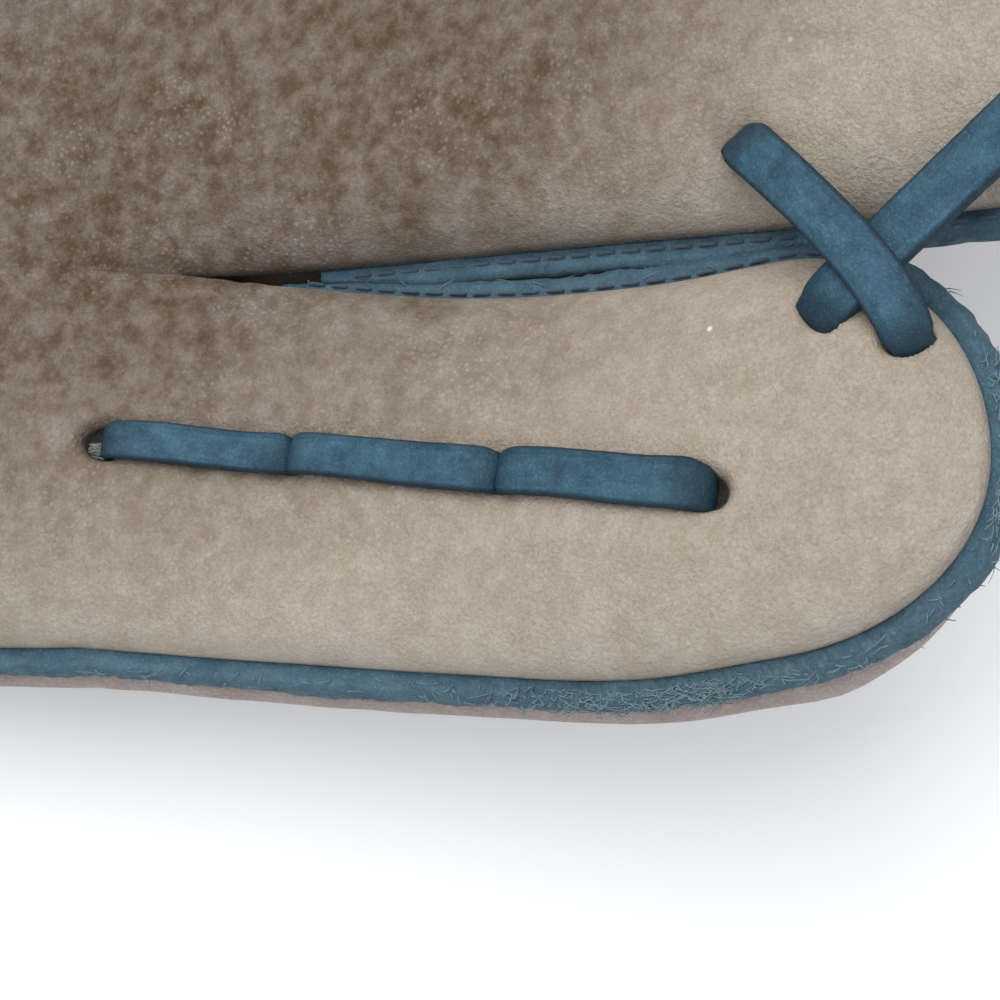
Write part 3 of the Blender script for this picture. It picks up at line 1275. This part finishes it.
def wear_group():
    """Handling wear: soft soiled clouds, scuffs that lie along one way, and dust. Three masks."""
    inputs = [("Vector", "NodeSocketVector", None), ("Scuffs", "NodeSocketFloat", 0.5),
              ("Dust", "NodeSocketFloat", 0.5)]
    tree, n = new_group("Handling wear", inputs, ("Cloud", "Scuff", "Dust"))
    start = n.add("NodeGroupInput")
    vector = start.outputs["Vector"]
    broad = n.noise(vector, 22, 4, 0.6, 0.6)
    mid = n.noise(vector, 70, 5, 0.65)
    cloud = n.math("ADD", n.math("MULTIPLY", broad, 0.65), n.math("MULTIPLY", mid, 0.35))
    streak = n.noise(n.stretched(vector, (90, 420, 200), (0, 0, 0.5)), 1.0, 5, 0.7, 0.4)
    scuff = n.math("MULTIPLY", n.span(streak, 0.6, 0.74), n.span(mid, 0.48, 0.66))
    fleck = n.cells(vector, 210)
    chance = n.noise(vector, 95, 2)
    dust = n.math("MULTIPLY", n.span(fleck, 0.1, 0.05), n.span(chance, 0.62, 0.68))
    end = n.add("NodeGroupOutput")
    n.put(end.inputs["Cloud"], n.span(cloud, 0.36, 0.64))
    n.put(end.inputs["Scuff"], n.math("MULTIPLY", scuff, start.outputs["Scuffs"], True))
    n.put(end.inputs["Dust"], n.math("MULTIPLY", dust, start.outputs["Dust"], True))
    return tree


def new_material(name, roughness, sheen=0.0):
    material = bpy.data.materials.new(name)
    material.use_nodes = True
    material.node_tree.nodes.clear()
    n = Nodes(material.node_tree)
    shader = n.add("ShaderNodeBsdfPrincipled", {
        "Roughness": roughness, "Sheen Weight": sheen, "Sheen Roughness": 0.55, "Specular IOR Level": 0.4,
    })
    out = n.add("ShaderNodeOutputMaterial")
    n.tree.links.new(shader.outputs[0], out.inputs["Surface"])
    return material, n, shader


def rgba(colour):
    return (*colour[:3], 1.0)


def shade(colour, factor):
    return tuple(min(c * factor, 1) for c in colour[:3]) + (1.0,)


# The middle of the darkened pocket, in the frame's metres
POCKET_MIDDLE = (0.020, -0.015, 0.05)


def tan_material(name, groups, look, clean, handled):
    """The worn tan face leather: dry, pebbled and a little uneven, browner towards the palm."""
    material, n, shader = new_material(name, 0.64, sheen=0.04)
    shader.inputs["Specular IOR Level"].default_value = 0.3
    place_ = n.add("ShaderNodeTexCoord").outputs["Object"]
    grain = n.group(groups["grain"], Vector=place_, Pebble=look.pebble, Depth=1.0)
    wear = n.group(groups["wear"], Vector=place_, Scuffs=look.scuffs, Dust=0.9)
    edge = n.add("ShaderNodeAttribute", attribute_name="wear").outputs["Fac"]
    pit = n.add("ShaderNodeAttribute", attribute_name="pit").outputs["Fac"]
    # Browner the nearer the leather is to the pocket, which the ball and the hand have darkened
    pocket = n.add("ShaderNodeVectorMath", {0: place_, 1: POCKET_MIDDLE}, operation="DISTANCE")
    uneven = n.math("MULTIPLY", n.math("SUBTRACT", n.noise(place_, 26, 3, 0.55), 0.5), 0.02)
    away = n.math("ADD", pocket.outputs["Value"], uneven)
    hand = n.math("MULTIPLY", n.span(away, 0.111, 0.072), look.browning, True)
    base = n.blend(hand, rgba(clean), rgba(handled))
    greyish = n.blend(0.5, base, (0.36, 0.28, 0.27, 1))
    base = n.blend(n.span(n.noise(place_, 48, 3, 0.6), 0.42, 0.66, 0, 0.3), base, greyish)
    light, dark = n.blend(0.55, base, (0.72, 0.68, 0.62, 1)), n.blend(0.62, base, (0.035, 0.022, 0.014, 1))
    base = n.blend(n.math("MULTIPLY", wear.outputs["Cloud"], 0.16), base, dark)
    mottle = n.span(n.noise(place_, 330, 4, 0.65), 0.36, 0.66)
    base = n.blend(n.math("MULTIPLY", mottle, 0.3), base, light)
    fine = n.span(n.noise(place_, 2300, 2, 0.7), 0.42, 0.66)
    base = n.blend(n.math("MULTIPLY", fine, 0.3), base, dark)
    base = n.blend(n.math("MULTIPLY", grain.outputs["Valley"], 0.09), base, dark)
    dotted = n.math("MULTIPLY", grain.outputs["Pores"], n.span(n.noise(place_, 60, 3), 0.44, 0.66, 0.03, 0.3))
    base = n.blend(dotted, base, light)
    base = n.blend(n.math("MULTIPLY", n.math("MAXIMUM", edge, 0.0), 0.2), base, light)
    base = n.blend(n.math("MULTIPLY", wear.outputs["Scuff"], 0.4), base, dark)
    base = n.blend(n.math("MULTIPLY", wear.outputs["Dust"], 0.75), base, (0.80, 0.82, 0.80, 1))
    base = n.blend(n.span(pit, 0.35, 0.75, 0, 0.96), base, (0.012, 0.010, 0.008, 1))
    n.put(shader.inputs["Base Color"], base)
    polished = n.math("SUBTRACT", 0.66, n.math("MULTIPLY", wear.outputs["Cloud"], 0.14))
    rough = n.math("ADD", n.math("MULTIPLY", grain.outputs["Valley"], 0.16), polished)
    n.put(shader.inputs["Roughness"], rough)
    pebbled = n.bump(grain.outputs["Height"], 0.55, look.grain_depth)
    n.put(shader.inputs["Normal"], n.bump(n.noise(place_, 190, 5, 0.6, 0.5), 0.35, 0.0011, pebbled))
    return material


def lining_material(groups, look):
    """The suede flesh side and the cut edges inside the glove."""
    material, n, shader = new_material("Lining leather", 0.9, sheen=0.3)
    place_ = n.add("ShaderNodeTexCoord").outputs["Object"]
    wear = n.group(groups["wear"], Vector=place_, Scuffs=0.2, Dust=0.1)
    nap = n.noise(place_, 2400, 4, 0.7)
    soiled = n.math("MULTIPLY", wear.outputs["Cloud"], 0.6)
    base = n.blend(soiled, shade(look.tan, 0.72), shade(look.brown, 0.55))
    n.put(shader.inputs["Base Color"], n.blend(n.math("MULTIPLY", nap, 0.5), base, shade(look.tan, 0.95)))
    n.put(shader.inputs["Normal"], n.bump(nap, 0.5, 0.0004))
    return material


def navy_material(name, groups, colour, lit, gloss, raw_colour, pale, fine=1500.0):
    """Navy leather, smooth on its face. Where it is cut it is dark and raw, with fibres as pale says."""
    material, n, shader = new_material(name, gloss)
    shader.inputs["Specular IOR Level"].default_value = 0.26
    place_ = n.add("ShaderNodeTexCoord").outputs["Object"]
    grain = n.group(groups["grain"], Vector=place_, Pebble=fine, Depth=0.7)
    wear = n.group(groups["wear"], Vector=place_, Scuffs=1.0, Dust=0.8)
    raw = n.add("ShaderNodeAttribute", attribute_name="raw").outputs["Fac"]
    uv = n.add("ShaderNodeUVMap", uv_map="UVMap").outputs[0]
    along = n.noise(n.stretched(uv, (240, 2600, 1)), 1.0, 4, 0.65)
    handled = n.add("ShaderNodeAttribute", attribute_name="handled").outputs["Fac"]
    base = n.blend(n.span(n.noise(place_, 170, 5, 0.7), 0.36, 0.64), rgba(colour), rgba(lit))
    base = n.blend(n.math("MULTIPLY", n.span(along, 0.48, 0.7), 0.4), base, shade(lit, 1.5))
    base = n.blend(n.math("MULTIPLY", grain.outputs["Pores"], 0.3), base, shade(lit, 1.6))
    base = n.blend(n.math("MULTIPLY", grain.outputs["Valley"], 0.3), base, shade(colour, 0.5))
    base = n.blend(n.math("MULTIPLY", handled, 0.75), base, shade(colour, 0.35))
    # Matted streaks that lie along the edge, with single pale fibres over them
    streaks = n.noise(n.stretched(uv, (1300, 3600, 1)), 1.0, 5, 0.8, 0.8)
    rubbed = n.math("MULTIPLY", n.span(streaks, 0.36, 0.6), n.span(n.noise(place_, 420, 3, 0.6), 0.24, 0.56))
    base = n.blend(n.math("MULTIPLY", raw, 0.75 - 0.5 * pale), base, shade(colour, 0.3))
    base = n.blend(n.math("MULTIPLY", n.math("MULTIPLY", raw, rubbed), pale), base, rgba(raw_colour))
    base = n.blend(n.math("MULTIPLY", wear.outputs["Scuff"], 0.1 + 0.3 * pale), base, rgba(raw_colour))
    base = n.blend(n.math("MULTIPLY", wear.outputs["Dust"], 0.6), base, (0.5, 0.56, 0.56, 1))
    n.put(shader.inputs["Base Color"], base)
    dull = n.math("ADD", n.math("MULTIPLY", raw, 0.3), n.math("MULTIPLY", wear.outputs["Cloud"], 0.14))
    n.put(shader.inputs["Roughness"], n.math("ADD", gloss - 0.06, dull))
    pebbled = n.bump(grain.outputs["Height"], 0.75, 0.0003)
    nap = n.math("MULTIPLY", n.math("ADD", rubbed, along), n.math("ADD", raw, 0.12))
    n.put(shader.inputs["Normal"], n.bump(nap, 0.6, 0.0006, pebbled))
    return material


def plain_material(name, colour, dark, roughness, scale, height):
    """A small part's finish: two close colours in fine noise."""
    material, n, shader = new_material(name, roughness, sheen=0.2)
    place_ = n.add("ShaderNodeTexCoord").outputs["Object"]
    fine = n.noise(place_, scale, 4, 0.65)
    n.put(shader.inputs["Base Color"], n.blend(n.span(fine, 0.35, 0.65), rgba(colour), rgba(dark)))
    n.put(shader.inputs["Normal"], n.bump(fine, 0.4, height))
    return material


def make_materials(look):
    """The glove's materials, each with its short name."""
    groups = {"grain": grain_group(), "wear": wear_group()}
    navy = (look.navy, look.navy_lit)
    return {
        "tan": tan_material("Tan face leather", groups, look, look.tan, look.brown),
        "back": tan_material("Tan back leather", groups, look, look.back, shade(look.back, 0.7)),
        "lining": lining_material(groups, look),
        "welt": navy_material("Navy welt leather", groups, (0.039, 0.088, 0.126), (0.080, 0.150, 0.198), 0.7,
                              look.fibre, 0.85),
        "lace": navy_material("Navy rawhide lace", groups, *navy, 0.44, look.fibre, 0.12),
        "binding": navy_material("Navy binding leather", groups, *navy, 0.52, look.fibre, 0.4, 1100.0),
        "thread": plain_material("Sewing thread", look.thread, shade(look.thread, 0.55), 0.7, 5200.0, 0.0002),
        "frayed": plain_material("Frayed lace fibre", (0.24, 0.28, 0.21), (0.08, 0.11, 0.09), 0.9, 3000.0,
                                 0.0002),
        "fibre": plain_material("Raw leather fibre", look.fibre, shade(look.fibre, 0.62), 0.95, 3000.0, 0.0002),
    }


FINISHES = {
    "tan": "Tan face leather", "back": "Tan back leather", "lining": "Lining leather",
    "welt": "Navy welt leather", "lace": "Navy rawhide lace", "binding": "Navy binding leather",
    "thread": "Sewing thread", "fibre": "Raw leather fibre", "frayed": "Frayed lace fibre",
}


def finishes(context):
    """The glove's materials by short name, made the first time they are asked for."""
    if any(name not in bpy.data.materials for name in FINISHES.values()):
        make_materials(context.scene.glove_look)
    return {key: bpy.data.materials[name] for key, name in FINISHES.items()}


def set_camera(shot):
    """The camera that the photograph was taken with, in the frame's metres."""
    level_part = math.cos(shot.elevation)
    towards = Vector((level_part * math.cos(shot.azimuth), level_part * math.sin(shot.azimuth),
                      math.sin(shot.elevation)))
    level = Vector((0, 1, 0))
    right = (level - towards * level.dot(towards)).normalized()
    up = towards.cross(right)
    turned = right * math.cos(shot.roll) + up * math.sin(shot.roll)
    upright = up * math.cos(shot.roll) - right * math.sin(shot.roll)
    data = bpy.data.cameras.new("Camera")
    data.angle = shot.angle
    data.clip_start = 0.005
    camera = bpy.data.objects.new("Camera", data)
    bpy.context.collection.objects.link(camera)
    camera.location = Vector(shot.target) + towards * shot.distance
    camera.rotation_euler = Matrix((turned, upright, towards)).transposed().to_euler()
    bpy.context.scene.camera = camera


# Name, place from the camera's target, power and colour of each soft light
LIGHTS = (("Key light", (-0.75, -0.25, 1.05), 16, (1.0, 0.985, 0.96)),
          ("Fill light", (0.9, 0.6, 0.9), 5, (0.92, 0.96, 1.0)))
LIGHT_SIZE = 1.3
WORLD_LIGHT = 0.72


def add_light(name, away, power, colour, target):
    bpy.ops.object.select_all(action="DESELECT")
    bpy.ops.object.light_add(type="AREA", location=tuple(t + a for t, a in zip(target, away)))
    light = bpy.context.object
    light.name = name
    light.data.size = LIGHT_SIZE
    light.data.energy = power
    light.data.color = colour
    light.rotation_euler = (Vector(target) - light.location).to_track_quat("-Z", "Y").to_euler()


class GloveLook(bpy.types.PropertyGroup):
    tan: bpy.props.FloatVectorProperty(
        name="Tan leather", description="Colour of the face leather where it is clean", subtype="COLOR",
        size=3, min=0, max=1, default=(0.346, 0.288, 0.224))
    brown: bpy.props.FloatVectorProperty(
        name="Handled leather", description="Colour that the face leather darkens to", subtype="COLOR",
        size=3, min=0, max=1, default=(0.082, 0.046, 0.018))
    back: bpy.props.FloatVectorProperty(
        name="Back leather", description="Colour of the leather of the glove's back", subtype="COLOR",
        size=3, min=0, max=1, default=(0.27, 0.205, 0.19))
    navy: bpy.props.FloatVectorProperty(
        name="Navy leather", description="Colour of welts, bindings and laces", subtype="COLOR", size=3,
        min=0, max=1, default=(0.016, 0.051, 0.085))
    navy_lit: bpy.props.FloatVectorProperty(
        name="Rubbed navy", description="Navy leather where it is rubbed", subtype="COLOR", size=3, min=0,
        max=1, default=(0.042, 0.118, 0.174))
    fibre: bpy.props.FloatVectorProperty(
        name="Raw edge", description="Colour of the fibres at a cut navy edge", subtype="COLOR", size=3,
        min=0, max=1, default=(0.17, 0.275, 0.32))
    thread: bpy.props.FloatVectorProperty(
        name="Thread", description="Colour of the sewing thread", subtype="COLOR", size=3, min=0, max=1,
        default=(0.05, 0.09, 0.13))
    browning: bpy.props.FloatProperty(
        name="Browning", description="How far the palm has darkened", subtype="FACTOR", min=0, max=2,
        default=1.0)
    scuffs: bpy.props.FloatProperty(
        name="Scuffs", description="How many scuffs the face leather has", subtype="FACTOR", min=0, max=1,
        default=0.55)
    pebble: bpy.props.FloatProperty(
        name="Pebbles", description="Pebbles of the grain in a metre", min=300, max=3000, default=1000)
    grain_depth: bpy.props.FloatProperty(
        name="Grain depth", description="Depth of the grain", unit="LENGTH", precision=5, min=0,
        max=0.002, default=0.00045)


class GloveMake(bpy.types.PropertyGroup):
    fine: bpy.props.BoolProperty(
        name="Fine mesh", description="Close mesh, as for a still; off for a quick look", default=True)
    welt_proud: bpy.props.FloatProperty(
        name="Welt", description="How far the welts stand out of their seams, in mm", min=1, max=4,
        default=3.3)
    fibres: bpy.props.IntProperty(
        name="Fibres", description="Raw fibres along the little finger's welt", min=0, max=2000,
        default=1300)


class GloveShot(bpy.types.PropertyGroup):
    target: bpy.props.FloatVectorProperty(
        name="Looks at", description="The point that the camera looks at", subtype="XYZ", unit="LENGTH",
        size=3, default=(0.111167, 0.041399, 0.030))
    azimuth: bpy.props.FloatProperty(
        name="Azimuth", description="The camera's turn round the glove, from +X", subtype="ANGLE",
        default=math.radians(62.212))
    elevation: bpy.props.FloatProperty(
        name="Elevation", description="The camera's height over the floor as an angle", subtype="ANGLE",
        default=math.radians(82.694))
    roll: bpy.props.FloatProperty(
        name="Roll", description="The camera's tilt", subtype="ANGLE", default=math.radians(-2.291))
    distance: bpy.props.FloatProperty(
        name="Distance", description="From the camera to its target", unit="LENGTH", default=0.219156)
    angle: bpy.props.FloatProperty(
        name="Field of view", description="The camera's field of view", subtype="ANGLE", default=2 *
        math.atan(500 / 1606.98))


class GLOVE_OT_stage(bpy.types.Operator):
    """Adds the camera, the pale floor and the soft lights"""

    bl_idname = "glove.stage"
    bl_label = "Stage"

    def execute(self, context):
        shot = context.scene.glove_shot
        set_camera(shot)
        bpy.ops.object.select_all(action="DESELECT")
        bpy.ops.mesh.primitive_plane_add(size=8, location=(0, 0, -0.0003))
        floor = context.object
        floor.name = "floor"
        material, n, shader = new_material("Pale floor", 0.85)
        vector = n.add("ShaderNodeTexCoord").outputs["Object"]
        colour = n.blend(n.noise(vector, 3, 2), (0.93, 0.935, 0.94, 1), (0.96, 0.96, 0.96, 1))
        n.put(shader.inputs["Base Color"], colour)
        floor.data.materials.append(material)
        bpy.ops.object.transform_apply(location=True)
        for light in LIGHTS:
            add_light(*light, shot.target)
        world = bpy.data.worlds.new("Soft studio")
        world.use_nodes = True
        world.node_tree.nodes["Background"].inputs[0].default_value = (0.93, 0.96, 1.0, 1)
        world.node_tree.nodes["Background"].inputs[1].default_value = WORLD_LIGHT
        context.scene.world = world
        context.scene.view_settings.view_transform = "Standard"
        return {"FINISHED"}


class GLOVE_OT_palm(bpy.types.Operator):
    """Adds the padded face leather over the palm and the five stalls"""

    bl_idname = "glove.palm"
    bl_label = "Palm"

    def execute(self, context):
        made = finishes(context)
        palm = make_palm([made["tan"], made["lining"], made["lining"]], context.scene.glove_make.fine)
        return {"FINISHED"}


class GLOVE_OT_backs(bpy.types.Operator):
    """Adds the back leather of each stall"""

    bl_idname = "glove.backs"
    bl_label = "Backs"

    def execute(self, context):
        made = finishes(context)
        for name in NAMES:
            make_back(name, [made["back"], made["lining"], made["lining"]])
        return {"FINISHED"}


class GLOVE_OT_welts(bpy.types.Operator):
    """Adds the welts in the seams, their thread and their raw fibres"""

    bl_idname = "glove.welts"
    bl_label = "Welts"

    def execute(self, context):
        made, make = finishes(context), context.scene.glove_make
        for name in NAMES:
            make_welt(name, [made["welt"]], make.welt_proud)
        make_thread([made["thread"]])
        make_fibres([made["fibre"]], make.fibres)
        make_hole_fibres([made["frayed"]], HOLE_FIBRES)
        return {"FINISHED"}


class GLOVE_OT_web(bpy.types.Operator):
    """Adds the web between the thumb and the index finger"""

    bl_idname = "glove.web"
    bl_label = "Web"

    def execute(self, context):
        made = finishes(context)
        make_web([made["tan"], made["tan"], made["lining"]])
        return {"FINISHED"}


class GLOVE_OT_wrist(bpy.types.Operator):
    """Adds the wrist strap and the bindings of the heel and of the back's opening"""

    bl_idname = "glove.wrist"
    bl_label = "Wrist"

    def execute(self, context):
        made = finishes(context)
        make_strap([made["lining"], made["tan"], made["lining"]])
        make_binding("heel_binding", HEEL_SPANS, 0, 0.6, 1, [made["binding"]])
        make_binding("opening_binding", OPENING_SPANS, OPENING_ROW, OPENING_ROW + 0.45, -1, [made["binding"]])
        return {"FINISHED"}


class GLOVE_OT_laces(bpy.types.Operator):
    """Adds every lace: along the stalls, between the fingertips, round the web, at the heel and on the strap"""

    bl_idname = "glove.laces"
    bl_label = "Laces"

    def execute(self, context):
        lace = [finishes(context)["lace"]]
        for name in STALL_LACES:
            make_stall_lace(name, lace)
        make_tip_laces(lace)
        make_heel_lace(lace)
        for name in ("thumb", "index"):
            make_web_lace(name, lace)
        for name, turn in (("thumb", 1), ("little", -1)):
            make_strap_lace(name, turn, lace)
        return {"FINISHED"}


OPERATORS = (GLOVE_OT_stage, GLOVE_OT_palm, GLOVE_OT_backs, GLOVE_OT_welts, GLOVE_OT_web, GLOVE_OT_wrist,
             GLOVE_OT_laces)


class GLOVE_PT_side(bpy.types.Panel):
    """The glove's pieces and sizes"""

    bl_idname = "GLOVE_PT_side"
    bl_label = "Baseball glove"
    bl_space_type = "VIEW_3D"
    bl_region_type = "UI"
    bl_category = "Glove"

    def draw(self, context):
        layout = self.layout
        for operator in OPERATORS:
            layout.operator(operator.bl_idname)
        for group in (context.scene.glove_look, context.scene.glove_make, context.scene.glove_shot):
            box = layout.box()
            for key in group.__annotations__:
                box.prop(group, key)


GROUPS = {"glove_look": GloveLook, "glove_make": GloveMake, "glove_shot": GloveShot}


def register():
    for group in GROUPS.values():
        bpy.utils.register_class(group)
    for key, group in GROUPS.items():
        setattr(bpy.types.Scene, key, bpy.props.PointerProperty(type=group))
    for made in (*OPERATORS, GLOVE_PT_side):
        bpy.utils.register_class(made)


def unregister():
    for made in (GLOVE_PT_side, *reversed(OPERATORS)):
        bpy.utils.unregister_class(made)
    for key, group in GROUPS.items():
        delattr(bpy.types.Scene, key)
        bpy.utils.unregister_class(group)


def main():
    register()
    bpy.ops.glove.stage()
    bpy.ops.glove.palm()
    bpy.ops.glove.backs()
    bpy.ops.glove.welts()
    bpy.ops.glove.web()
    bpy.ops.glove.wrist()
    bpy.ops.glove.laces()


if __name__ == "__main__":
    main()
